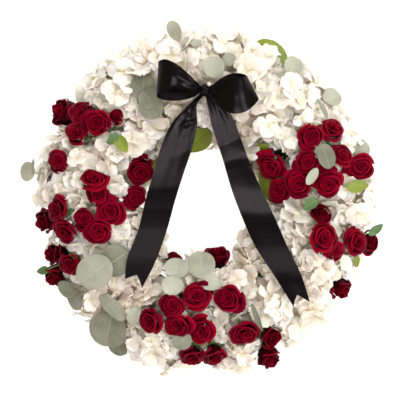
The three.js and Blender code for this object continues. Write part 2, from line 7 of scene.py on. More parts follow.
import bpy
import numpy as np
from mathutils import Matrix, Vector


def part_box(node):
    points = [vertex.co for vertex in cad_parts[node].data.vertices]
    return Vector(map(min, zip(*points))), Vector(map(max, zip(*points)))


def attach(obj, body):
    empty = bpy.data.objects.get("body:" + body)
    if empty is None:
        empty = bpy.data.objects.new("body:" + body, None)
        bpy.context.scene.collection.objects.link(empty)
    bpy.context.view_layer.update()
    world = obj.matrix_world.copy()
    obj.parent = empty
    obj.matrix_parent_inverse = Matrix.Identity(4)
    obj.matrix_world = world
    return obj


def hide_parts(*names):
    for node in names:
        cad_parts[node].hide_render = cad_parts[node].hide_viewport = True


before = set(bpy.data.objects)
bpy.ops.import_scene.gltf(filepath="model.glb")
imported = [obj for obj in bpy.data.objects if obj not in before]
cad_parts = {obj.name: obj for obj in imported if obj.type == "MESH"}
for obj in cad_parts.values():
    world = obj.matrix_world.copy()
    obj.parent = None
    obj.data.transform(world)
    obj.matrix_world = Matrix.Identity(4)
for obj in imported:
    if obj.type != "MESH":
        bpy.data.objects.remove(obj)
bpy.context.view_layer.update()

MM = 0.001
RING = 168.0
CUSHION_HALF_WIDTH, CUSHION_FOOT, CUSHION_RISE = 82.0, 48.0, 74.0
STEM_FOOT, JUNCTION_HEIGHT = 24.0, 66.0
PLAIN_TINT = 0.5
UP = np.array([0.0, 0.0, 1.0])

tray_low, tray_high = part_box("ring_tray")
CENTRE = np.array([(tray_low[0] + tray_high[0]) / 2, (tray_low[1] + tray_high[1]) / 2, 0.0])


# ---- Vectors ----


def vec(x, y, z=0.0):
    return np.array([x, y, z], float)


def unit(v):
    return v / np.linalg.norm(v)


def lerp(a, b, t):
    return a + (b - a) * t


def basis(axis, towards=None):
    """Three unit columns: the third is the axis, and the first lies as near as it can to a given vector."""
    axis = unit(axis)
    hint = towards if towards is not None else (vec(1, 0) if abs(axis[0]) < 0.8 else vec(0, 1))
    first = unit(hint - axis * np.dot(hint, axis))
    return np.stack([first, np.cross(axis, first), axis], axis=1)


def turn_about(axis, angle):
    """Rotation matrix for an angle about a unit axis."""
    x, y, z = axis
    c, s = math.cos(angle), math.sin(angle)
    skew = np.array([[0, -z, y], [z, 0, -x], [-y, x, 0]])
    return np.eye(3) * c + skew * s + np.outer(axis, axis) * (1 - c)


def unit_circle(sides):
    """Points (sides, 3) round the origin in the plane of X and Y."""
    angles = np.linspace(0, 2 * math.pi, sides, endpoint=False)
    return np.stack([np.cos(angles), np.sin(angles), np.zeros(sides)], axis=1)


def circle_in(columns, sides):
    """The unit circle laid in the plane of a basis's first two columns."""
    circle = unit_circle(sides)
    return np.outer(circle[:, 0], columns[:, 0]) + np.outer(circle[:, 1], columns[:, 1])


def ball_rings(radius, polar, sides):
    """Rings of a ball's surface at the given angles from its lowest point."""
    circle = unit_circle(sides)
    return np.array([radius * (circle * math.sin(a) - UP * math.cos(a)) for a in polar])


# ---- Meshes ----


def grid_normals(grid):
    """Unit normals of a grid of points (rows, columns, 3)."""
    normal = np.cross(np.gradient(grid, axis=1), np.gradient(grid, axis=0))
    return normal / np.maximum(np.linalg.norm(normal, axis=2, keepdims=True), 1e-9)


def add_object(name, data):
    """A new object in the scene."""
    made = bpy.data.objects.new(name, data)
    bpy.context.scene.collection.objects.link(made)
    return made


class Mesh:
    """Gathers grids of points, in millimetres from the ring's centre, into one mesh."""

    def __init__(self):
        self.points, self.quads, self.uvs, self.tints, self.slots = [], [], [], [], []
        self.count = 0

    def add(self, points, quads, uv, tint, slot=0):
        """Adds points (n, 3) with quads (m, 4), uv (n, 2), one tint number and one material slot."""
        self.points.append(points)
        self.quads.append(quads + self.count)
        self.uvs.append(uv)
        self.tints.append(np.full(len(points), tint))
        self.slots.append(np.full(len(quads), slot))
        self.count += len(points)

    def shell(self, grid, thick, tint, slot=0):
        """A thin closed sheet round a grid (rows, columns, 3)."""
        rows, cols = grid.shape[:2]
        normal = grid_normals(grid)
        v, u = np.meshgrid(np.linspace(0, 1, rows), np.linspace(0, 1, cols), indexing="ij")
        uv = np.stack([u, v], axis=2).reshape(-1, 2)
        faces = [grid + normal * thick / 2, grid - normal * thick / 2]
        points = np.concatenate([face.reshape(-1, 3) for face in faces])
        at = np.arange(rows * cols).reshape(rows, cols)
        front = np.stack([at[:-1, :-1], at[1:, :-1], at[1:, 1:], at[:-1, 1:]], axis=2).reshape(-1, 4)
        back = front[:, ::-1] + rows * cols
        edge = np.concatenate([at[0, :-1], at[:-1, -1], at[-1, :0:-1], at[:0:-1, 0]])
        after = np.roll(edge, -1)
        rim = np.stack([edge, after, after + rows * cols, edge + rows * cols], axis=1)
        self.add(points, np.concatenate([front, back, rim]), np.concatenate([uv, uv]), tint, slot)

    def tube(self, path, radii, sides, tint, slot=0):
        """A closed round tube along a path of points, with a radius at each."""
        path = np.asarray(path, float)
        heading = np.gradient(path, axis=0)
        rings = []
        side = basis(heading[0])[:, 0]
        for point, ahead, radius in zip(path, heading, radii):
            columns = basis(ahead, side)
            side = columns[:, 0]
            rings.append(point + circle_in(columns, sides) * radius)
        self.turned(np.array(rings), tint, slot)

    def turned(self, rings, tint, slot=0):
        """A closed body from rings (rows, sides, 3), with a flat cap at each end."""
        rows, sides = rings.shape[:2]
        at = np.arange(rows * sides).reshape(rows, sides)
        after = np.roll(at, -1, axis=1)
        quads = np.stack([at[:-1], after[:-1], after[1:], at[1:]], axis=2).reshape(-1, 4)
        low, high = rows * sides, rows * sides + 1
        ends = [np.stack([after[0], at[0], np.full(sides, low), np.full(sides, low)], axis=1)]
        ends.append(np.stack([at[-1], after[-1], np.full(sides, high), np.full(sides, high)], axis=1))
        points = np.concatenate([rings.reshape(-1, 3), [rings[0].mean(axis=0), rings[-1].mean(axis=0)]])
        v = np.repeat(np.linspace(0, 1, rows), sides)
        u = np.tile(np.linspace(0, 1, sides), rows)
        uv = np.concatenate([np.stack([u, v], axis=1), [[0.5, 0], [0.5, 1]]])
        self.add(points, np.concatenate([quads, *ends]), uv, tint, slot)

    def build(self, name, materials, crease=55):
        """Makes the Blender object, rides it on the body and returns it."""
        points = np.concatenate(self.points) * MM + CENTRE
        quads = np.concatenate(self.quads)
        slots = np.concatenate(self.slots)
        faces = [q[:3] if q[2] == q[3] else q for q in quads.tolist()]
        mesh = bpy.data.meshes.new(name)
        mesh.from_pydata(points.tolist(), [], faces)
        mesh.polygons.foreach_set("material_index", slots.astype(np.int32))
        mesh.polygons.foreach_set("use_smooth", np.ones(len(faces), bool))
        corners = np.empty(len(mesh.loops), np.int32)
        mesh.loops.foreach_get("vertex_index", corners)
        uv = np.concatenate(self.uvs)
        mesh.uv_layers.new(name="UVMap").data.foreach_set("uv", uv[corners].astype(np.float32).ravel())
        tint = mesh.attributes.new("tint", "FLOAT", "POINT")
        tint.data.foreach_set("value", np.concatenate(self.tints).astype(np.float32))
        mesh.set_sharp_from_angle(angle=math.radians(crease))
        for material in materials:
            mesh.materials.append(material)
        mesh.validate()
        piece = add_object(name, mesh)
        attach(piece, "root")
        return piece


# ---- The flower cushion, as the CAD model has it ----


def on_cushion(at, lift=0.0):
    """The point of the cushion's crown above (x, y), lifted along its normal, and that normal."""
    x, y = at
    reach = math.hypot(x, y)
    across = min(max((reach - RING) / CUSHION_HALF_WIDTH, -0.95), 0.95)
    crown = math.sqrt(1 - across * across)
    normal = unit(vec(x / reach, y / reach) * across / CUSHION_HALF_WIDTH + UP * crown / CUSHION_RISE)
    return vec(x, y, CUSHION_FOOT + CUSHION_RISE * crown) + normal * lift, normal


def over_ring(at, height, wander=16.0):
    """The point above the ring's centre line nearest to (x, y), allowed to wander a little to each side."""
    x, y = at
    reach = math.hypot(x, y)
    held = min(max(reach, RING - wander), RING + wander)
    return vec(x * held / reach, y * held / reach, height)


# ---- Materials ----


class Shader:
    """A principled material with short calls for the nodes that colour it."""

    def __init__(self, name, **sockets):
        self.material = bpy.data.materials.new(name)
        self.material.use_nodes = True
        self.tree = self.material.node_tree
        self.surface = self.tree.nodes["Principled BSDF"]
        for socket, value in sockets.items():
            self.surface.inputs[socket.replace("_", " ")].default_value = value

    def node(self, kind, values=(), **settings):
        made = self.tree.nodes.new(kind)
        for key, value in settings.items():
            setattr(made, key, value)
        for socket, value in dict(values).items():
            if isinstance(value, bpy.types.NodeSocket):
                self.tree.links.new(value, made.inputs[socket])
            else:
                made.inputs[socket].default_value = value
        return made

    def object_point(self):
        return self.node("ShaderNodeTexCoord").outputs["Object"]

    def uv(self):
        return self.node("ShaderNodeUVMap", uv_map="UVMap").outputs["UV"]

    def tint(self):
        return self.node("ShaderNodeAttribute", attribute_name="tint").outputs["Fac"]

    def noise(self, scale, detail=3.0):
        values = {"Vector": self.object_point(), "Scale": scale, "Detail": detail}
        return self.node("ShaderNodeTexNoise", values).outputs["Fac"]

    def wave(self, vector, scale, distortion, detail=2.0, detail_scale=1.0):
        values = dict(Vector=vector, Scale=scale, Distortion=distortion, Detail=detail)
        values["Detail Scale"] = detail_scale
        return self.node("ShaderNodeTexWave", values, bands_direction="X").outputs["Fac"]

    def ramp(self, factor, *stops):
        """A colour ramp with (place, colour) stops."""
        made = self.node("ShaderNodeValToRGB", {"Fac": factor})
        elements = made.color_ramp.elements
        while len(elements) < len(stops):
            elements.new(0.5)
        for element, (place, colour) in zip(elements, stops):
            element.position = place
            element.color = (*colour, 1)
        return made.outputs["Color"]

    def mix(self, factor, a, b, blend="MIX"):
        made = self.node("ShaderNodeMix", data_type="RGBA", blend_type=blend)
        for index, value in ((0, factor), (6, a), (7, b)):
            if isinstance(value, bpy.types.NodeSocket):
                self.tree.links.new(value, made.inputs[index])
            else:
                made.inputs[index].default_value = (*value, 1) if isinstance(value, tuple) else value
        return made.outputs[2]

    def maths(self, operation, a, b=0.0, clamp=False):
        return self.node("ShaderNodeMath", {0: a, 1: b}, operation=operation, use_clamp=clamp).outputs[0]

    def axis(self, point, index):
        return self.node("ShaderNodeSeparateXYZ", {0: point}).outputs[index]

    def colour(self, socket):
        self.tree.links.new(socket, self.surface.inputs["Base Color"])
        return self

    def bump(self, height, strength, distance):
        made = self.node("ShaderNodeBump", {"Height": height, "Strength": strength, "Distance": distance})
        self.tree.links.new(made.outputs["Normal"], self.surface.inputs["Normal"])
        return self


def sepal_material():
    scatter = dict(Subsurface_Weight=0.6, Subsurface_Scale=0.006, Subsurface_Radius=(1.0, 0.85, 0.6))
    s = Shader("hydrangea_sepal", Roughness=0.65, Specular_IOR_Level=0.25, **scatter)
    base = s.ramp(
        s.axis(s.uv(), 1),
        (0.0, (0.72, 0.68, 0.26)),
        (0.1, (0.88, 0.82, 0.54)),
        (0.35, (0.955, 0.885, 0.775)),
        (0.8, (0.97, 0.91, 0.84)),
    )
    creamy = s.mix(s.tint(), base, (0.93, 0.85, 0.66))
    rosy = s.ramp(s.noise(11.0, 1.0), (0.42, (1, 1, 1)), (0.66, (0.98, 0.92, 0.89)))
    blotch = s.ramp(s.noise(60.0), (0.45, (1, 1, 1)), (0.8, (0.96, 0.92, 0.8)))
    s.colour(s.mix(1.0, s.mix(1.0, creamy, blotch, "MULTIPLY"), rosy, "MULTIPLY"))
    veins = s.wave(s.uv(), 3.2, 3.4, detail_scale=1.4)
    return s.bump(veins, 0.3, 0.0007).material


def speckled(name, scale, dark, light, bump=None, detail=3.0, **sockets):
    """A material of two tones mixed by noise. A bump is (scale, strength, depth)."""
    s = Shader(name, **sockets)
    s.colour(s.mix(s.noise(scale, detail), dark, light))
    return s.bump(s.noise(bump[0], detail), *bump[1:]).material if bump else s.material


def stalk_material(name, dark, light):
    return speckled(name, 220.0, dark, light, (900.0, 0.3, 0.0003), Roughness=0.55)


def rose_material():
    s = Shader("rose_petal", Roughness=0.5, Specular_IOR_Level=0.1, Specular_Tint=(1.0, 0.1, 0.25, 1))
    # Painted shade and painted highlight: each petal is coloured near black towards its base, deep in the
    # bloom, and bright red at its rim.
    painted_shade_and_rim_highlight = s.ramp(
        s.axis(s.uv(), 1),
        (0.0, (0.006, 0.0, 0.0005)),
        (0.55, (0.015, 0.0, 0.001)),
        (0.8, (0.062, 0.0003, 0.0035)),
        (0.97, (0.26, 0.001, 0.013)),
    )
    plum = s.mix(s.maths("MULTIPLY", s.tint(), 0.75), painted_shade_and_rim_highlight, (0.07, 0.0006, 0.01))
    streaks = s.wave(s.uv(), 7.0, 3.0, 3.0, 1.2)
    s.colour(s.mix(s.maths("MULTIPLY", streaks, 0.3), plum, (0.03, 0.0, 0.003)))
    return s.bump(streaks, 0.35, 0.0006).material


def leaf_material(name, dark, light, vein, bloom, roughness, rib):
    """A leaf with a midrib and side veins, paler where the bloom lies on it. rib is the midrib's strength."""
    s = Shader(name, Roughness=roughness, Subsurface_Weight=0.1, Subsurface_Scale=0.003)
    across = s.maths("ABSOLUTE", s.maths("SUBTRACT", s.axis(s.uv(), 0), 0.5))
    midrib = s.maths("LESS_THAN", across, 0.016)
    herring = s.node("ShaderNodeCombineXYZ", {0: s.maths("SUBTRACT", s.axis(s.uv(), 1), across)}).outputs[0]
    side_veins = s.maths("POWER", s.wave(herring, 3.2, 0.6, 1.0), 10.0)
    mottled = s.mix(s.noise(60.0, 5.0), dark, light)
    dusted = s.mix(s.maths("MULTIPLY", s.noise(25.0, 2.0), 0.8, clamp=True), mottled, bloom)
    tinted = s.mix(s.tint(), dusted, s.mix(s.noise(40.0), dark, mottled))
    veined = s.mix(s.maths("MULTIPLY", side_veins, 0.16), tinted, vein)
    s.colour(s.mix(s.maths("MULTIPLY", midrib, rib), veined, vein))
    return s.bump(s.maths("ADD", side_veins, s.noise(350.0)), 0.18, 0.0005).material


def satin_material():
    s = Shader("black_satin", Roughness=0.2, Specular_IOR_Level=0.115, Specular_Tint=(1.0, 0.85, 0.92, 1))
    s.colour(s.mix(s.noise(1500.0), (0.0006, 0.0005, 0.0006), (0.002, 0.0016, 0.002)))
    weave = s.wave(s.uv(), 70.0, 0.5)
    return s.bump(s.maths("ADD", s.maths("MULTIPLY", weave, 0.3), s.noise(70.0)), 0.1, 0.0006).material


SEPAL = sepal_material()
FLORET_STALK = stalk_material("floret_stalk", (0.45, 0.5, 0.2), (0.7, 0.7, 0.42))
GREEN_STALK = stalk_material("green_stalk", (0.07, 0.14, 0.025), (0.16, 0.27, 0.06))
PINK_STALK = stalk_material("eucalyptus_stalk", (0.28, 0.3, 0.2), (0.5, 0.4, 0.33))
ROSE = rose_material()
SILVER_LEAF = leaf_material(
    "eucalyptus_leaf",
    (0.065, 0.07, 0.046), (0.31, 0.33, 0.23), (0.43, 0.44, 0.31), (0.49, 0.5, 0.41), 0.6, 0.3,
)
ROSE_LEAF = leaf_material(
    "rose_leaf", (0.02, 0.06, 0.012), (0.06, 0.14, 0.025), (0.12, 0.2, 0.05), (0.06, 0.13, 0.03), 0.42, 0.7
)
BRIGHT_LEAF = leaf_material(
    "bright_leaf", (0.06, 0.1, 0.002), (0.2, 0.26, 0.003), (0.26, 0.33, 0.03), (0.15, 0.2, 0.004), 0.5, 0.5
)
SATIN = satin_material()
PEARL = speckled(
    "pearl", 400.0, (0.6, 0.47, 0.38), (0.68, 0.56, 0.46), Roughness=0.18, Coat_Weight=0.6, Sheen_Weight=0.2
)
WIRE = speckled("lacquered_wire", 500.0, (0.05, 0.09, 0.04), (0.09, 0.14, 0.07), Roughness=0.35, Metallic=0.3)
TRAY = speckled(
    "moulded_plastic", 30.0, (0.012, 0.035, 0.014), (0.018, 0.05, 0.02), (1800.0, 0.15, 0.0002),
    Roughness=0.42,
)
FOAM = speckled(
    "floral_foam", 1200.0, (0.03, 0.09, 0.03), (0.09, 0.2, 0.07), (2200.0, 0.8, 0.001), 5.0, Roughness=0.95
)


# ---- Roses ----

BLOOM_TALL = {"open": 0.78, "bud": 1.15}
PETAL_TURN = 2.4
PETAL_THICK = 0.45
FIFTH_TURN = 1.2566
CALYX_PROFILE = [(0.08, -0.3), (0.2, -0.24), (0.27, -0.1), (0.24, 0.0), (0.34, 0.08)]

# Each cut stem's flowers: (x, y, width, lean to +X, lean to +Y, height over the cushion, form).
SPRAYS = [
    [(-231, 139, 56, -1, 0.1, 0, "bud"), (-181, 132, 38, 0, 0.1), (-190, 98, 40, -0.3, 0)],
    [(-156, 112, 44, 0.1, -0.3, 9), (-128, 124, 29, 0.2, 0.3, 6, "bud")],
    [(-218, 56, 38, -0.1, -0.4)],
    [(-162, 38, 43, 0, 1), (-155, 12, 38, 0, 0.2, 2)],
    [(-92, 42, 44, -0.3, 0, -2), (-99, 4, 38, -0.1, 0, -2)],
    [(-137, -16, 47, 0, 0, 4), (-155, -45, 43, 0, 0, 9), (-177, -25, 36, -0.1, 0.2, -2)],
    [(-221, -12, 43, -0.65, 0.1), (-253, -34, 44, -0.4, -0.2, 0, "bud"), (-206, -47, 41, -0.3, -0.2, 8)],
    [(-233, -77, 39, -0.6, 0.3, 6, "bud"), (-199, -93, 40, 0, -0.1), (-227, -127, 42, 0.1, -1, 4, "bud")],
    [(-83, -175, 44, -0.5, 0), (-46, -154, 39), (-40, -184, 42, -0.2, -0.3, 8)],
    [(-10, -139, 50, 0.1, 0.2), (-39, -80, 44, 0, 0.4, -4, "bud")],
    [(-5, -191, 44, -0.3, 0.1, 4), (-17, -237, 46, 0, -0.7), (18, -237, 48, 0.3, -0.8)],
    [(35, -144, 44, -0.2, 0, 7), (19, -65, 44, 0.2, 0.6, -6, "bud")],
    [(59, -198, 47, 0, -0.3), (105, -207, 40, 0.4, -0.1, 6, "bud"), (103, -246, 43, 0.3, -0.8, 6, "bud")],
    [(171, -21, 38, 0, -0.4, 8, "bud"), (178, -51, 51, 0.35, 0.5, 8)],
    [(196, -78, 36, 0.2, -0.5, 2), (227, -62, 44, 0, 0, 8), (250, -62, 42, -0.5, 0.1, 4, "bud")],
    [(219, -145, 44, 0.6, -0.7, -2, "bud")],
    [(156, 94, 45, 0, 0, 8), (188, 109, 46, 0.1, 0.5), (151, 57, 37)],
    [(99, 49, 47, 0.1, -0.2, 4), (141, 25, 47, 0, 0, 9), (109, 12, 41, -0.1, -0.3, 2)],
    [(181, 23, 43, -0.15, -0.2),
     (205, 68, 38, 0.1, 0.2),
     (231, 49, 47, -0.4, -0.1, 8),
     (182, 44, 30, 0, 0, -6)],
]


def pose_of(x, y, wide, lean_x=0, lean_y=0, lift=6, form="open"):
    """Where a bloom stands: its axis, height, radius, form and the foot of its cup."""
    rim, normal = on_cushion((x, y), lift)
    axis = unit(normal + UP + vec(lean_x, lean_y) * 1.4)
    tall = BLOOM_TALL[form] * wide * 0.9
    return dict(axis=axis, tall=tall, radius=wide / 2, form=form, foot=rim - axis * tall)


def petal_grid(turn, share, radius, tall, openness, rng):
    """One rose petal in the bloom's own frame. share is 0 for the innermost petal and 1 for the outermost."""
    v = np.linspace(0, 1, 9)[:, None]
    u = np.linspace(-1, 1, 10)[None, :]
    wall = radius * (0.06 + lerp(0.74, 0.58, openness) * share**0.85)
    half_spread = math.radians(lerp(130, 54, share**0.6))
    top = tall * (0.98 - 0.24 * share**2) * rng.uniform(0.95, 1.05)
    flare = openness * share**1.3 * rng.uniform(0.75, 1.2)
    belly = 0.2 + 0.8 * np.sin(np.minimum(v / 0.6, 1) * math.pi / 2)
    curl = np.clip((v - 0.5) / 0.5, 0, 1)
    roll = np.clip((v - 0.8) / 0.2, 0, 1)
    pointed = (1 - np.abs(u)) ** 1.2
    reach = wall * belly * (1 - (1 - share) * 0.3 * curl)
    reach = reach + flare * radius * (0.25 + 0.19 * pointed * share) * curl**1.7
    reach = reach + (0.4 + 0.6 * openness) * radius * 0.085 * roll**1.5
    reach = reach * (1 + 0.03 * np.sin(u * 5 + rng.uniform(0, 6)) * curl)
    height = top * v**0.9 - (flare * tall * 0.14 + 0.07 * tall) * roll**2
    height = height - top * (0.15 * np.abs(u) ** 2.2 + 0.09 * flare * np.abs(u)) * v**2
    height = height + 0.02 * tall * np.sin(u * 7 + rng.uniform(0, 6)) * curl
    angle = turn + u * half_spread * (0.35 + 0.65 * np.sin(v * math.pi / 2))
    return np.stack([reach * np.cos(angle), reach * np.sin(angle), height], axis=2)


def add_bloom(petals, greens, pose, rng):
    """A rose: petals wound in a spiral, a hip under them and five sepals."""
    form, radius, tall = pose["form"], pose["radius"] * 1.04, pose["tall"]
    count, openness = {"open": (15, rng.uniform(0.8, 1.05)), "bud": (12, rng.uniform(0.3, 0.5))}[form]
    turn_to = basis(pose["axis"]) @ turn_about(UP, rng.uniform(0, 6.28))
    squash = vec(rng.uniform(0.84, 1.0), rng.uniform(1.0, 1.06), 1.0)
    heart = radius * vec(rng.uniform(-0.12, 0.12), rng.uniform(-0.12, 0.12), 0.0)
    for i in range(count):
        share = i / (count - 1)
        turn = i * PETAL_TURN + rng.uniform(-0.45, 0.45)
        grid = petal_grid(turn, share, radius, tall, openness, rng)
        grid = grid * squash + heart * (1 - share)
        grid = grid @ turn_to.T + pose["foot"] + pose["axis"] * tall * 0.04
        petals.shell(grid, PETAL_THICK, rng.random() * (0.3 + 0.7 * share))
    add_calyx(greens, pose, turn_to, rng)


def add_calyx(greens, pose, turn_to, rng):
    """The green hip under a bloom, and its five sepals."""
    radius, tall, foot = pose["radius"], pose["tall"], pose["foot"]
    rings = np.array([unit_circle(12) * r * radius + UP * z * radius for r, z in CALYX_PROFILE])
    greens.turned(rings @ turn_to.T + foot, 0.3)
    v = np.linspace(0, 1, 6)[:, None]
    u = np.linspace(-1, 1, 3)[None, :]
    for k in range(5):
        half = radius * 0.17 * (1 - v**1.6) * u
        droop = rng.uniform(-0.1, 0.5)
        out = radius * (0.3 + 0.42 * v + 0.2 * v**2)
        rise = tall * 0.05 + tall * (0.34 * v - droop * v**2) - np.abs(u) * radius * 0.03
        angle = k * FIFTH_TURN + half / np.maximum(out, 1e-6)
        grid = np.stack([out * np.cos(angle), out * np.sin(angle), rise], axis=2)
        greens.shell(grid @ turn_to.T + foot, 0.4, rng.random())


def bowed(a, b, sag, steps=6):
    """Points from a to b, pushed up in the middle by sag."""
    t = np.linspace(0, 1, steps)[:, None]
    return lerp(a, b, t) + UP * sag * np.sin(t * math.pi)


def make_spray(number, flowers):
    """One cut stem with its blooms and leaves. Returns the poses of the blooms."""
    rng = random.Random(100 + number)
    petals, greens = Mesh(), Mesh()
    poses = [pose_of(*flower) for flower in flowers]
    middle = np.mean([flower[:2] for flower in flowers], axis=0)
    junction = over_ring(middle, JUNCTION_HEIGHT)
    stem = [over_ring(middle, STEM_FOOT), over_ring(middle, 45), junction + UP * 3]
    greens.tube(stem, [2.0, 2.1, 2.2], 8, 0.2)
    for pose in poses:
        add_bloom(petals, greens, pose, rng)
        neck = pose["foot"] - pose["axis"] * pose["radius"] * 0.2
        greens.tube(bowed(junction, neck, -2.0), [1.6, 1.4, 1.3, 1.3, 1.4, 1.6], 7, rng.random())
    for row in ROSE_LEAVES.get(number, []):
        base = add_blade(greens, rng, row, **{**ROSE_LEAF_LOOKS, **row["looks"]})
        greens.tube(bowed(junction, base, 2.0), [1.2, 1.1, 1.0, 0.9, 0.8, 0.7], 6, 0.3)
    node = f"rose_spray_{number:02d}"
    for mesh, part, materials in (
        (petals, "petals", [ROSE]),
        (greens, "greens", [GREEN_STALK, ROSE_LEAF, BRIGHT_LEAF]),
    ):
        piece = mesh.build(f"{node}_{part}", materials)
        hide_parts(node)
    return poses


# ---- Leaves ----

BRIGHT_SLOT = 2
ROSE_LEAF_LOOKS = dict(fold=0.25, tip=0.35, teeth=9, slot=1)


def leaf(x, y, ahead_x, ahead_y, long, wide, lift, lean=(0, 0), bare=-2, **looks):
    """A leaf's place, heading, length, width, height over the cushion and lean. Florets keep clear of it
    beyond the share of its length called bare, which is -1 at its base and 1 at its tip."""
    place = dict(at=(x, y), to=(ahead_x, ahead_y), lift=lift, lean=lean)
    return dict(place, long=long, wide=wide, bare=bare, looks=looks)


EUCALYPTUS = [
    [leaf(-44, 252, -0.4, 0.9, 32, 21, 6, (0, -0.7)),
     leaf(-26, 234, 0.2, 0.9, 14, 10, 6),
     leaf(-11, 230, 0.8, 0.5, 16, 11, 6)],
    [leaf(14, 194, -0.2, 0.9, 33, 31, 6), leaf(37, 208, 0.6, 0.8, 22, 20, 0, shade=0.5)],
    [leaf(105, 234, 0.3, 1, 60, 58, -19, (0, -0.5), bare=0.3, slot=BRIGHT_SLOT),
     leaf(132, 199, 0.6, 0.8, 34, 29, 4),
     leaf(122, 181, 0.4, -0.8, 26, 22, -4, bare=2)],
    [leaf(188, 152, 0.9, 0.4, 32, 29, 6), leaf(172, 134, 0.45, -0.85, 32, 9, 6, (0.9, 0.3), shade=0.7)],
    [leaf(253, 84, 0.9, 0.5, 32, 30, -18, (-0.4, -0.1), bare=2, shade=0.1)],
    [leaf(-90, 168, 0.1, 1, 40, 38, -2, bare=2, shade=0.95),
     leaf(-80, 150, -0.6, 0.6, 32, 34, 0, shade=0.9),
     leaf(-77, 137, 0.5, -0.8, 36, 36, 0, shade=0.95)],
    [leaf(-264, 44, -0.9, 0.05, 22, 30, 2, (0.9, 0), shade=0.2),
     leaf(-252, 51, -0.2, 0.9, 24, 8, 6, (-0.9, 0)),
     leaf(-244, 40, -0.5, -0.9, 22, 9, 4, (-0.9, 0.2))],
    [leaf(-158, -102, -0.8, -0.6, 56, 51, 9, shade=0.25),
     leaf(-130, -87, 0.8, 0.55, 48, 48, -4, shade=1.1)],
    [leaf(-204, -131, -0.9, 0.2, 34, 26, 2, shade=0.6),
     leaf(-193, -149, -0.1, -0.95, 34, 26, 0, shade=0.6)],
    [leaf(-131, -152, -0.7, 0.72, 52, 22, 12, (0.7, 0.5), fold=0.3, shade=0.7),
     leaf(-139, -186, -0.3, -0.95, 62, 59, 6, shade=0.8),
     leaf(-132, -226, 0.1, -0.95, 32, 30, -6, shade=1),
     leaf(-103, -168, 0.3, 0.95, 26, 18, 2)],
    [leaf(-43, -103, 0.05, 1, 32, 36, 6, shade=0.2),
     leaf(-47, -125, 0, -1, 29, 32, 3),
     leaf(-4, -100, -0.15, 1, 44, 41, 6, shade=0.2),
     leaf(8, -118, 0.9, -0.2, 36, 24, -5)],
    [leaf(-33, -208, -0.6, -0.6, 30, 28, -4, shade=0.5),
     leaf(77, -170, 0.35, -0.9, 44, 8, 2, (-0.6, 0), shade=1)],
    [leaf(176, 65, -0.3, 0.95, 38, 26, 8, shade=1), leaf(158, 36, -0.5, -0.8, 28, 14, 4)],
]
BROAD_LEAVES = [
    [leaf(-15, 83, -0.6, -0.8, 62, 42, -8, (0, -0.4), tip=0.3)],
    [leaf(-67, 53, 0.5, -0.8, 36, 26, -14, bare=2, tip=0.3)],
    [leaf(77, 67, -0.95, -0.35, 36, 22, -14, bare=2, tip=0.3)],
    [leaf(90, 24, -0.4, 0.9, 60, 28, -8, tip=0.35)],
]
ROSE_LEAVES = {
    2: [leaf(-134, 91, -0.5, -0.4, 20, 13, 3), leaf(-121, 83, 0.5, -0.8, 27, 18, 4, slot=BRIGHT_SLOT)],
    8: [leaf(-243, -105, -1, -0.35, 26, 12, 0)],
    15: [leaf(256, -42, 0.9, 0.3, 32, 13, 4), leaf(230, -92, 0.4, -0.9, 18, 12, 0, slot=BRIGHT_SLOT)],
    18: [leaf(155, -5, -0.6, -0.5, 24, 16, 3)],
    19: [leaf(229, 22, 1, 0.15, 38, 18, 0, slot=BRIGHT_SLOT)],
}


def blade_frame(row):
    """The middle of a leaf's blade, and its unit vectors ahead, to the side and out of its face."""
    point, normal = on_cushion(row["at"], row["lift"])
    face = unit(normal + UP + vec(*row["lean"]))
    ahead = vec(*row["to"])
    ahead = unit(ahead - face * np.dot(ahead, face))
    return point, ahead, np.cross(face, ahead), face


def add_blade(mesh, rng, row, fold=0.16, tip=0.0, teeth=0, slot=0, shade=0.0):
    """A leaf blade as a grid from base to tip. Returns the point where its stalk joins it."""
    point, ahead, side, face = blade_frame(row)
    long, wide = row["long"], row["wide"]
    v = np.linspace(0.0, 1.0, 17)[:, None]
    u = np.linspace(-1, 1, 11)[None, :]
    turn = v * math.pi
    along = -np.cos(turn) * long / 2
    outline = np.maximum(np.sin(turn), 0.03) * (1 + tip * np.cos(turn)) * wide / 2
    if teeth:
        outline = outline * (1 + 0.06 * np.sin(v * math.pi * 2 * teeth))
    across = u * outline
    crease = np.sqrt(across**2 + 1.2) - 1.1
    wave = 0.03 * long * np.sin(v * 8 + u * 2 + rng.uniform(0, 6)) * np.abs(u) ** 1.5
    rng.random()  # One number is passed over, which keeps the tints of the leaves.
    height = fold * crease - 0.12 * along**2 / long + wave
    grid = point + along[..., None] * ahead + across[..., None] * side + height[..., None] * face
    mesh.shell(grid, 0.5, shade + rng.uniform(0, 0.1), slot)
    return point + ahead * (1.5 - long / 2) - face * 0.12 * long / 4


def make_sprig(node, rows, blade, stalk, seed):
    """One cut stem with its leaves, from the materials of their blades and stalks."""
    rng = random.Random(seed)
    mesh = Mesh()
    middle = np.mean([row["at"] for row in rows], axis=0)
    junction = over_ring(middle, JUNCTION_HEIGHT, 24)
    foot = over_ring(middle, STEM_FOOT, 24)
    mesh.tube([foot, (foot + junction) / 2, junction + UP * 2], [1.5, 1.5, 1.5], 8, 0.2, 1)
    for row in rows:
        base = add_blade(mesh, rng, row, **row["looks"])
        mesh.tube(bowed(junction, base, 1.0), [1.4, 1.2, 1.1, 1.0, 0.9, 0.8], 7, 0.5, 1)
    piece = mesh.build(node, [blade, stalk, BRIGHT_LEAF])
    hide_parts(node.removesuffix("_leaves"))


# ---- Ribbon ----

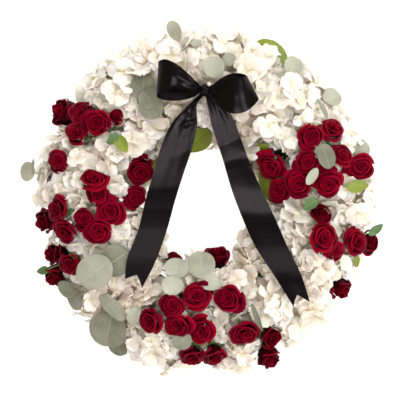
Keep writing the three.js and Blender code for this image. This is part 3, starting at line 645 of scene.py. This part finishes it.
RIBBON_COLUMNS = 25
RIBBON_THICK = 0.3
NOTCH = 15.0
LOOPS = {
    "bow_loop_left": (
        [(-5, 166, 138), (-20, 180, 155), (-38, 194, 166), (-55, 202, 164), (-66, 200, 153),
         (-62, 198, 139), (-42, 190, 128), (-20, 176, 127), (-6, 165, 130)],
        [(-5, 158, 139), (-25, 160, 154), (-46, 160, 159), (-61, 157, 154), (-68, 152, 145),
         (-64, 148, 136), (-42, 146, 128), (-20, 150, 126), (-6, 157, 129)],
    ),
    "bow_loop_right": (
        [(8, 166, 139), (28, 174, 155), (44, 176, 167), (56, 177, 166), (64, 180, 152), (56, 185, 138),
         (43, 186, 130), (26, 180, 128), (8, 166, 131)],
        [(8, 154, 139), (22, 135, 151), (42, 125, 158), (62, 129, 160), (80, 148, 148), (72, 151, 134),
         (50, 147, 128), (26, 152, 127), (8, 158, 130)],
    ),
}
TAILS = {
    "ribbon_tail_left": (
        [(-4, 158, 128), (-19, 144, 126), (-48, 113, 120), (-63, 80, 113), (-74, 44, 106), (-87, 0, 104),
         (-97, -42, 108), (-113, -86, 119), (-116, -114, 124)],
        [(0, 154, 128), (-10, 142, 125), (-10, 113, 118), (-17, 80, 110), (-29, 44, 103), (-43, 0, 100),
         (-55, -43, 103), (-71, -88, 115), (-91, -128, 123)],
    ),
    "ribbon_tail_right": (
        [(10, 156, 128), (36, 132, 125), (49, 105, 119), (65, 62, 110), (85, 16, 107), (103, -21, 103),
         (122, -65, 109), (143, -110, 120), (155, -148, 121)],
        [(2, 153, 128), (6, 134, 124), (12, 108, 118), (27, 63, 107), (41, 16, 103), (55, -21, 98),
         (75, -66, 103), (104, -111, 117), (131, -155, 121)],
    ),
}
DRAPE = {
    "bow_loop_left": dict(gather=0.5, arch=2.4),
    "bow_loop_right": dict(gather=0.5, arch=0.8, folds=[(0.28, 0.42, 0.0, -2.0)]),
    "ribbon_tail_left": dict(
        gather=0.9,
        crumple=0.45,
        folds=[(0.42, 0.575, 0.03, -3.0), (0.575, 0.66, 0.0, 2.4), (0.74, 0.86, 0.0, 2.2)],
    ),
    "ribbon_tail_right": dict(
        gather=0.4,
        folds=[(0.31, 0.37, -0.022, -2.6), (0.38, 0.41, -0.01, 0.8), (0.75, 0.9, 0.0, 2.2)],
    ),
}
KNOT_AT = vec(1, 161, 134)
PEARL_AT, PEARL_RADIUS = vec(7, 169, 142), 3.0
BOW_WIRE_FOOT, WIRE_STEPS = 22.0, 60


def smooth_curve(points, t):
    """Points at shares t of a centripetal Catmull-Rom curve, as the CAD model's ribbon edges have it."""
    p = np.array(points, float)
    p = np.vstack([2 * p[0] - p[1], p, 2 * p[-1] - p[-2]])
    place = np.clip(t, 0, 1) * (len(p) - 3)
    k = np.minimum(place.astype(int), len(p) - 4)
    share = (place - k)[:, None]
    a, b, c, d = p[k], p[k + 1], p[k + 2], p[k + 3]
    steps = (b - a, c - b, d - c)
    gaps = [np.maximum(np.linalg.norm(step, axis=1, keepdims=True) ** 0.5, 1e-3) for step in steps]
    m1 = ((b - a) / gaps[0] - (c - a) / (gaps[0] + gaps[1]) + (c - b) / gaps[1]) * gaps[1]
    m2 = ((c - b) / gaps[1] - (d - b) / (gaps[1] + gaps[2]) + (d - c) / gaps[2]) * gaps[1]
    s2, s3 = share**2, share**3
    return (2 * s3 - 3 * s2 + 1) * b + (s3 - 2 * s2 + share) * m1 + (3 * s2 - 2 * s3) * c + (s3 - s2) * m2


def ribbon_grid(edges, stations, gather=0.0, crumple=0.0, arch=0.0, notch=0.0, folds=(), seed=1):
    """A strip between two edge curves. It is pleated near its start, where the knot gathers it, crumpled
    beside the pleats and arched across. Each fold is (from, to, slant, rise) along the strip."""
    rng = random.Random(seed)
    u = np.linspace(-1, 1, RIBBON_COLUMNS)[None, :]
    t = np.linspace(0, 1, stations)[:, None] * np.ones_like(u)
    if notch:
        length = np.linalg.norm(np.diff(np.array(edges[0], float), axis=0), axis=1).sum()
        t = t * (1 - notch / length * (1 - np.abs(u)))
    upper = smooth_curve(edges[0], t.ravel()).reshape(*t.shape, 3)
    lower = smooth_curve(edges[1], t.ravel()).reshape(*t.shape, 3)
    grid = upper * (1 - u[..., None]) / 2 + lower * (1 + u[..., None]) / 2
    face = grid_normals(grid)
    face *= np.sign(face[stations // 5, RIBBON_COLUMNS // 2, 2])
    height = gather * 1.6 * np.exp(-t * 7) * np.sin(u * 2.5 * math.pi + rng.uniform(0, 6))
    for _ in range(6):
        wave = np.sin(t * rng.uniform(60, 140) + u * rng.uniform(-8, 8) + rng.uniform(0, 6))
        height = height + crumple * wave * np.exp(-((t - 0.17) / 0.1) ** 2 - ((u - 0.25) / 0.6) ** 2)
    height = height + arch * (1 - u**2) * np.sin(math.pi * np.clip(t * 2, 0, 1))
    height = height + 0.35 * np.sin(t * 17 + u * 1.6 + rng.uniform(0, 6)) * (1 - 0.4 * np.abs(u))
    for start, end, slant, rise in folds:
        height = height + rise * np.clip((t + slant * u - start) / (end - start), 0, 1)
    return grid + height[..., None] * face


def make_ribbon(name, edges, stations, **form):
    """One strip of satin. Its flat length is that of its centre line, and a fishtail takes half its notch."""
    mesh = Mesh()
    mesh.shell(ribbon_grid(edges, stations, **form), RIBBON_THICK, PLAIN_TINT)
    piece = mesh.build(name + "_satin", [SATIN])
    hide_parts(name)


def make_knot():
    """The knot: a short band of pleated ribbon wrapped round the bow's middle."""
    mesh = Mesh()
    circle = unit_circle(48)
    rings = []
    for row in np.linspace(-1, 1, 17):
        pleat = 1 + 0.09 * math.sin(row * 9) + 0.04 * math.sin(row * 17 + 1)
        fullness = math.sqrt(max(1 - row**2, 0.12)) * pleat
        wide, high = 8.6 * fullness * circle[:, 0], 7.4 * fullness * circle[:, 1]
        ring = np.stack([np.full(48, 9.0 * row), wide, high], axis=1)
        rings.append(ring + vec(0, 0, 0.5 * math.sin(row * 4)))
    rings = np.array(rings) @ turn_about(UP, math.radians(78)).T + KNOT_AT
    mesh.turned(rings, PLAIN_TINT)
    piece = mesh.build("bow_knot_satin", [SATIN], crease=80)
    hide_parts("bow_knot")


def make_pearl():
    """The pearl and the pin that holds it in the bow."""
    mesh = Mesh()
    pearl = ball_rings(PEARL_RADIUS, np.linspace(0.02, math.pi - 0.02, 17), 24)
    mesh.turned(pearl + PEARL_AT, PLAIN_TINT)
    mesh.tube([PEARL_AT - UP * 44, PEARL_AT - UP * 20, PEARL_AT - UP * 2.5], [0.2, 0.6, 0.6], 8, PLAIN_TINT)
    piece = mesh.build("pearl_pin_head", [PEARL])
    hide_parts("pearl_pin")


def make_wire():
    """The bow's pick: a doubled wire, twisted."""
    mesh = Mesh()
    height = np.linspace(BOW_WIRE_FOOT, KNOT_AT[2] - 9, WIRE_STEPS)
    for phase in (0, math.pi):
        turn = height * 0.35 + phase
        path = np.stack([KNOT_AT[0] + 0.5 * np.cos(turn), KNOT_AT[1] + 0.5 * np.sin(turn), height], axis=1)
        mesh.tube(path, np.full(WIRE_STEPS, 0.5), 8, PLAIN_TINT)
    piece = mesh.build("bow_wire_twist", [WIRE])
    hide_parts("bow_wire")


# ---- Hydrangea heads ----

HEAD_ROWS = [
    dict(count=9, start=10, reach=196, across=54, along=96, rise=70),
    dict(count=6, start=30, reach=133, across=49, along=92, rise=68),
]
HEAD_CENTRE, HEAD_DROOP, HEAD_POWER = 50.0, 44.0, 2.5
RING_SPACE_HALF, RING_SPACE_TOP = 42.4, 57.0
HEAD_DIRECTIONS = 420
GOLDEN_ANGLE = math.pi * (3 - math.sqrt(5))
# Layers of florets: (spacing, share of the head's radius, seed).
LAYERS = [(18.5, 0.93, 1), (20.0, 0.78, 2), (23.0, 0.6, 3)]
GAP_SEED, GAP_STEP, GAP_APART = 4, 11.0, 12
# Ways to fit a floret in: (how far it is sunk, share of its size).
FITS = [(0, 1), (4, 0.85), (9, 0.8), (14, 0.75), (20, 0.7), (26, 0.6), (32, 0.5)]
LOWEST_FLORET, FLOOR_CLEARANCE = 4, 1.0
BLOOM_CLEARANCE, BLADE_CLEARANCE, RIBBON_CLEARANCE = 45, 6, 10


HEADS = []
for row in HEAD_ROWS:
    for i in range(row["count"]):
        bearing = math.radians(row["start"] + 360 / row["count"] * i)
        outward = vec(math.cos(bearing), math.sin(bearing))
        HEADS.append(dict(row, outward=outward, centre=outward * row["reach"] + UP * HEAD_CENTRE))


def head_reach(head, direction):
    """How far a head reaches along a direction when it is free, and where its neighbours stop it."""
    sideways = vec(-head["outward"][1], head["outward"][0])
    shares = [
        abs(direction @ head["outward"]) / head["across"],
        abs(direction @ sideways) / head["along"],
        direction[2] / head["rise"] if direction[2] > 0 else -direction[2] / HEAD_DROOP,
    ]
    free = sum(share**HEAD_POWER for share in shares) ** (-1 / HEAD_POWER)
    stopped = math.inf
    for other in HEADS:
        apart = other["centre"] - head["centre"]
        gap = np.linalg.norm(apart)
        facing = direction @ apart / gap if gap > 1 else 0
        if facing > 0.01:
            stopped = min(stopped, gap / 2 / facing)
    return free, stopped


def sepal_grid(long, wide, rng):
    """One broad sepal lying along +X from the floret's centre, with a ruffled edge."""
    v = np.array([0.03, 0.27, 0.54, 0.8, 0.985])[:, None]
    u = np.linspace(-1, 1, 5)[None, :]
    outline = np.sqrt(np.maximum(1 - (2 * v**1.35 - 1) ** 2, 0.0))
    across = u * outline * wide / 2
    along = long * (v + 0.07 * (1 - u**2) * v**3)
    cup = rng.uniform(0.05, 0.45)
    rise = long * cup * (np.sin(v * math.pi * 0.55) - 0.5 * v**2)
    trough = wide * u**2 * (0.4 + v) * rng.uniform(-0.1, 0.18)
    edge = np.maximum(np.abs(u), v) ** 3
    ruffle = 0.07 * long * np.sin(u * rng.uniform(4, 8) + v * rng.uniform(2, 5) + rng.uniform(0, 6)) * edge
    droop = -long * np.clip(v - 0.5, 0, 1) ** 1.3 * rng.uniform(-0.3, 0.7)
    return np.stack([along, across, rise + trough + ruffle + droop], axis=2)


def add_floret(sepals, point, axis, radius, rng):
    """Four sepals round a bead, on a short stalk."""
    turn_to = basis(axis) @ turn_about(UP, rng.uniform(0, 6.28))
    tint = rng.uniform(0, 0.8) ** 1.5
    for k in range(4):
        long = radius * rng.uniform(0.78, 1.1)
        grid = sepal_grid(long, long * rng.uniform(1.05, 1.4), rng)
        pitch = turn_about(vec(0, 1), -rng.gauss(0.14, 0.26))
        spin = turn_about(UP, k * math.pi / 2 + rng.uniform(-0.3, 0.3)) @ pitch
        lift = UP * (0.8 if k % 2 else 0.0)
        sepal = (grid + lift) @ (turn_to @ spin).T + point
        sepal[..., 2] = np.maximum(sepal[..., 2], FLOOR_CLEARANCE)
        sepals.shell(sepal, 0.35, tint + rng.uniform(0, 0.12))
    bead = ball_rings(1.2, np.linspace(0.5, math.pi - 0.5, 3), 5) + UP * 1.2
    sepals.turned(bead @ turn_to.T + point, 0.9)


def disc_samples(point, axis, radius):
    """The centre of a floret and points round its rim."""
    rim = circle_in(basis(axis), 8)
    lifted = rim * radius * 0.8 + axis * radius * 0.3
    return np.concatenate([[point], point + rim * radius * 0.5, point + rim * radius * 1.08, point + lifted])


class Obstacles:
    """The blooms, blades and ribbons that a floret has to stay clear of."""

    def __init__(self, blooms, blades, strips):
        for key in ("foot", "axis", "radius", "tall"):
            setattr(self, key, np.array([pose[key] for pose in blooms]))
        self.heart = self.foot + self.axis * (self.tall * 0.65)[:, None]
        self.blades = [(*blade_frame(row), row["long"] / 2, row["wide"] / 2, row["bare"]) for row in blades]
        self.strips = strips

    def free(self, samples):
        """Whether all of a floret's sample points are clear."""
        offset = samples[:, None] - self.foot[None]
        height = (offset * self.axis).sum(axis=2)
        away = np.linalg.norm(offset - self.axis * height[..., None], axis=2)
        share = np.clip(height / self.tall, 0, 1)
        cup = self.radius * (0.3 + 0.68 * share) + 1.0
        if ((height > -2) & (height < self.tall + BLOOM_CLEARANCE) & (away < cup)).any():
            return False
        aside = np.linalg.norm(samples[:, None, :2] - self.heart[None, :, :2], axis=2)
        if ((aside < self.radius * 0.8) & (samples[:, None, 2] > self.heart[:, 2])).any():
            return False
        for centre, ahead, side, face, long, wide, bare in self.blades:
            offset = samples - centre
            share = offset @ ahead / (long + 2)
            inside = (share > bare) & (share**2 + (offset @ side / (wide + 2)) ** 2 < 1)
            height = offset @ face
            if (inside & (height > -BLADE_CLEARANCE - 0.12 * long)).any():
                return False
        for strip in self.strips:
            apart = np.linalg.norm(samples[:, None, :2] - strip[None, :, :2], axis=2)
            near = apart.argmin(axis=1)
            over = (apart.min(axis=1) < 8) & (samples[:, 2] > strip[near, 2] - RIBBON_CLEARANCE)
            if over.any():
                return False
        return True


# Where the flowers stand out or draw in: (bearing, by how much).
SWELLS = [(-95, 8), (-37, 6), (8, 4), (66, 6), (90, -4), (140, -5), (165, -6), (190, 2), (215, 2)]


def swell(point):
    """How far the flowers stand out beyond the plain cushion at a point's bearing, at its outer side."""
    bearing = math.degrees(math.atan2(point[1], point[0]))
    outer = min(max((math.hypot(*point[:2]) - 195) / 50, 0), 1)
    return outer * sum(far * math.exp(-(((bearing - at + 180) % 360 - 180) / 15) ** 2) for at, far in SWELLS)


def head_spots(spacing, painted_shade_and_rim_highlight, seed):
    """Places on the heads for florets: (head, point, direction), spread out evenly but at random."""
    rng = np.random.default_rng(seed)
    spots, taken = [], np.empty((0, 3))
    steps = np.arange(HEAD_DIRECTIONS) + 0.5
    level, around = 1 - 2 * steps / HEAD_DIRECTIONS, steps * GOLDEN_ANGLE
    ring = np.sqrt(1 - level**2)
    directions = np.stack([ring * np.cos(around), ring * np.sin(around), level], axis=1)
    candidates = []
    for number, head in enumerate(HEADS):
        for direction in directions:
            free, stopped = head_reach(head, direction)
            if stopped > free * 0.82:
                point = head["centre"] + direction * (min(free, stopped) * painted_shade_and_rim_highlight + rng.uniform(-4, 3))
                point = point + unit(point * [1, 1, 0]) * swell(point)
                candidates.append((number, point, direction))
    for i in rng.permutation(len(candidates)):
        number, point, direction = candidates[i]
        if point[2] < 14 or in_ring(point):
            continue
        if len(taken) and np.linalg.norm(taken - point, axis=1).min() < spacing:
            continue
        taken = np.vstack([taken, point])
        spots.append((number, point, direction))
    return spots


def gap_spots(taken):
    """Places seen from above with no floret near: (head, point, direction)."""
    rng = np.random.default_rng(GAP_SEED)
    spots, taken = [], np.array(taken)[:, :2]
    line = np.arange(-250, 251, GAP_STEP)
    grid = np.stack(np.meshgrid(line, line), axis=2).reshape(-1, 2)
    for x, y in rng.permutation(grid + rng.uniform(-3, 3, grid.shape)):
        if not RING - 58 < math.hypot(x, y) < RING + 70:
            continue
        if np.hypot(*(taken - (x, y)).T).min() < GAP_APART:
            continue
        taken = np.vstack([taken, (x, y)])
        point, direction = on_cushion((x, y), -2.0)
        number = min(range(len(HEADS)), key=lambda i: np.hypot(*(HEADS[i]["centre"] - point)[:2]))
        spots.append((number, vec(x, y, point[2]), direction))
    return spots


def place_florets(spots, meshes, placed, obstacles, rng):
    """Puts a floret at each spot where it fits, and notes its place in placed."""
    for number, point, direction in spots:
        centre = HEADS[number]["centre"]
        sepals, stalks = meshes[number]
        tilt = vec(*(rng.gauss(0, 0.32) for _ in range(3)))
        axis = unit(direction + UP * 0.35 + tilt)
        radius = 18 + 10 * rng.random() ** 1.3
        inward = unit(point - centre + UP * 20)
        for sunk, share in FITS:
            place = point - inward * sunk
            samples = disc_samples(place, axis, radius * share)
            if samples[:, 2].min() > LOWEST_FLORET and not in_ring(place) and obstacles.free(samples):
                add_floret(sepals, place, axis, radius * share, rng)
                placed.append(place)
                root = lerp(centre - UP * 12, place, 0.45)
                stalks.tube(bowed(root, place - axis * 0.6, 3.0, 4), [0.9, 0.8, 0.8, 0.8], 5, rng.random())
                break


def make_heads(obstacles):
    """The heads: florets in layers, then in the gaps seen from above, and stems."""
    rng = random.Random(7)
    meshes = [(Mesh(), Mesh()) for _ in HEADS]
    placed = []
    for layer in LAYERS:
        place_florets(head_spots(*layer), meshes, placed, obstacles, rng)
    place_florets(gap_spots(placed), meshes, placed, obstacles, rng)
    for number, (head, (sepals, stalks)) in enumerate(zip(HEADS, meshes), 1):
        foot = over_ring(head["centre"][:2], STEM_FOOT, 8)
        level = foot * [1, 1, 0]
        stalks.tube([foot, level + UP * 50, level + UP * (JUNCTION_HEIGHT + 4)], [3.4, 3.4, 3.0], 10, 0.1)
        node = f"hydrangea_head_{number:02d}"
        for mesh, part, material in ((sepals, "sepals", SEPAL), (stalks, "stalks", FLORET_STALK)):
            piece = mesh.build(f"{node}_{part}", [material])
            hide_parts(node)


def in_ring(point):
    """Whether a point lies in the space of the foam and the tray."""
    across = abs(math.hypot(*point[:2]) - RING)
    return across < RING_SPACE_HALF and point[2] < RING_SPACE_TOP


# ---- Foam and tray ----


def turned_ring(section, name, material, node, sides=144):
    """A ring with a closed section of (offset from the centre line, height) points."""
    mesh = Mesh()
    outward = unit_circle(sides)
    rings = np.array([outward * (RING + across) + UP * height for across, height in section])
    rows = len(section)
    at = np.arange(rows * sides).reshape(rows, sides)
    after, below = np.roll(at, -1, axis=1), np.roll(at, -1, axis=0)
    quads = np.stack([at, after, np.roll(below, -1, axis=1), below], axis=2).reshape(-1, 4)
    v, u = np.meshgrid(np.linspace(0, 1, rows), np.linspace(0, 1, sides), indexing="ij")
    mesh.add(rings.reshape(-1, 3), quads, np.stack([u, v], axis=2).reshape(-1, 2), PLAIN_TINT)
    piece = mesh.build(name, [material], crease=40)
    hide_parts(node)


TRAY_SECTION = [
    (-33, 0), (33, 0), (34, 1), (36, 22.6), (35.8, 23.6), (35, 24), (34.2, 23.6), (33.9, 22.6), (31.4, 2.4),
    (-31.4, 2.4), (-33.9, 22.6), (-34.2, 23.6), (-35, 24), (-35.8, 23.6), (-36, 22.6), (-34, 1),
]
FOAM_SECTION = [
    (-29, 3.1), (29, 3.1), (30, 4), (30, 43), (28, 48), (22.5, 53), (19, 54),
    (-19, 54), (-22.5, 53), (-28, 48), (-30, 43), (-30, 4),
]


def make_base():
    turned_ring(TRAY_SECTION, "ring_tray_plastic", TRAY, "ring_tray")
    turned_ring(FOAM_SECTION, "foam_ring_cells", FOAM, "foam_ring")


# ---- Floor, light and camera ----

CAMERA_LENS, CAMERA_HEIGHT = 100.0, 1.747
CAMERA_OVER = vec(-6, 1.5) * MM
FLOOR_REACH, FLOOR_DROP = 6.0, 0.0005
# Area lights: (name, place, (length, width), power).
LIGHTS = [
    ("key_light", (0.45, 1.3, 1.5), (2.1, 2.1), 39),
    ("front_light", (-0.1, -0.72, 1.8), (0.36, 0.36), 10),
    ("strip_light", (1.45, -0.42, 1.35), (1.8, 0.28), 26),
]


def make_setting():
    floor_mesh = bpy.data.meshes.new("floor")
    corners = [(FLOOR_REACH * x, FLOOR_REACH * y, 0) for x, y in ((-1, -1), (1, -1), (1, 1), (-1, 1))]
    floor_mesh.from_pydata(corners, [], [(0, 1, 2, 3)])
    floor = add_object("floor", floor_mesh)
    glow = dict(Emission_Color=(1, 1, 1, 1), Emission_Strength=0.84)
    paint = Shader("floor", Base_Color=(0.34, 0.34, 0.34, 1), Roughness=0.9, Specular_IOR_Level=0.1, **glow)
    floor_mesh.materials.append(paint.material)
    floor.location.z = -FLOOR_DROP

    world = bpy.data.worlds.new("studio")
    world.use_nodes = True
    background = world.node_tree.nodes["Background"]
    background.inputs["Color"].default_value = (1, 0.925, 0.845, 1)
    background.inputs["Strength"].default_value = 0.58
    bpy.context.scene.world = world

    for name, place, (length, width), power in LIGHTS:
        lamp = bpy.data.lights.new(name, "AREA")
        lamp.shape = "RECTANGLE"
        lamp.size, lamp.size_y, lamp.energy = length, width, power
        light = add_object(name, lamp)
        light.location = place
        aim = CENTRE + UP * 0.06 - np.array(place)
        light.rotation_mode = "QUATERNION"
        light.rotation_quaternion = Vector(aim).to_track_quat("-Z", "X")

    camera = add_object("camera", bpy.data.cameras.new("camera"))
    camera.data.lens = CAMERA_LENS
    camera.location = CENTRE + CAMERA_OVER + UP * CAMERA_HEIGHT
    bpy.context.scene.camera = camera
    bpy.context.scene.view_settings.view_transform = "Standard"


# ---- The wreath ----


def make_wreath():
    blooms = [pose for number, flowers in enumerate(SPRAYS, 1) for pose in make_spray(number, flowers)]
    for i, rows in enumerate(EUCALYPTUS, 1):
        make_sprig(f"eucalyptus_sprig_{i:02d}_leaves", rows, SILVER_LEAF, PINK_STALK, 200 + i)
    for i, rows in enumerate(BROAD_LEAVES, 1):
        make_sprig(f"broad_leaf_{i:02d}_leaves", rows, BRIGHT_LEAF, GREEN_STALK, 300 + i)

    for name, edges in LOOPS.items():
        make_ribbon(name, edges, 90, **DRAPE[name], seed=41)
    for name, edges in TAILS.items():
        make_ribbon(name, edges, 200, notch=NOTCH, **DRAPE[name], seed=42)
    make_knot()
    make_pearl()
    make_wire()

    strips = [ribbon_grid(edges, 60)[:, ::3].reshape(-1, 3) for edges in (*LOOPS.values(), *TAILS.values())]
    blades = [row for rows in (*EUCALYPTUS, *BROAD_LEAVES, *ROSE_LEAVES.values()) for row in rows]
    make_heads(Obstacles(blooms, blades, strips))
    make_base()


make_wreath()
make_setting()
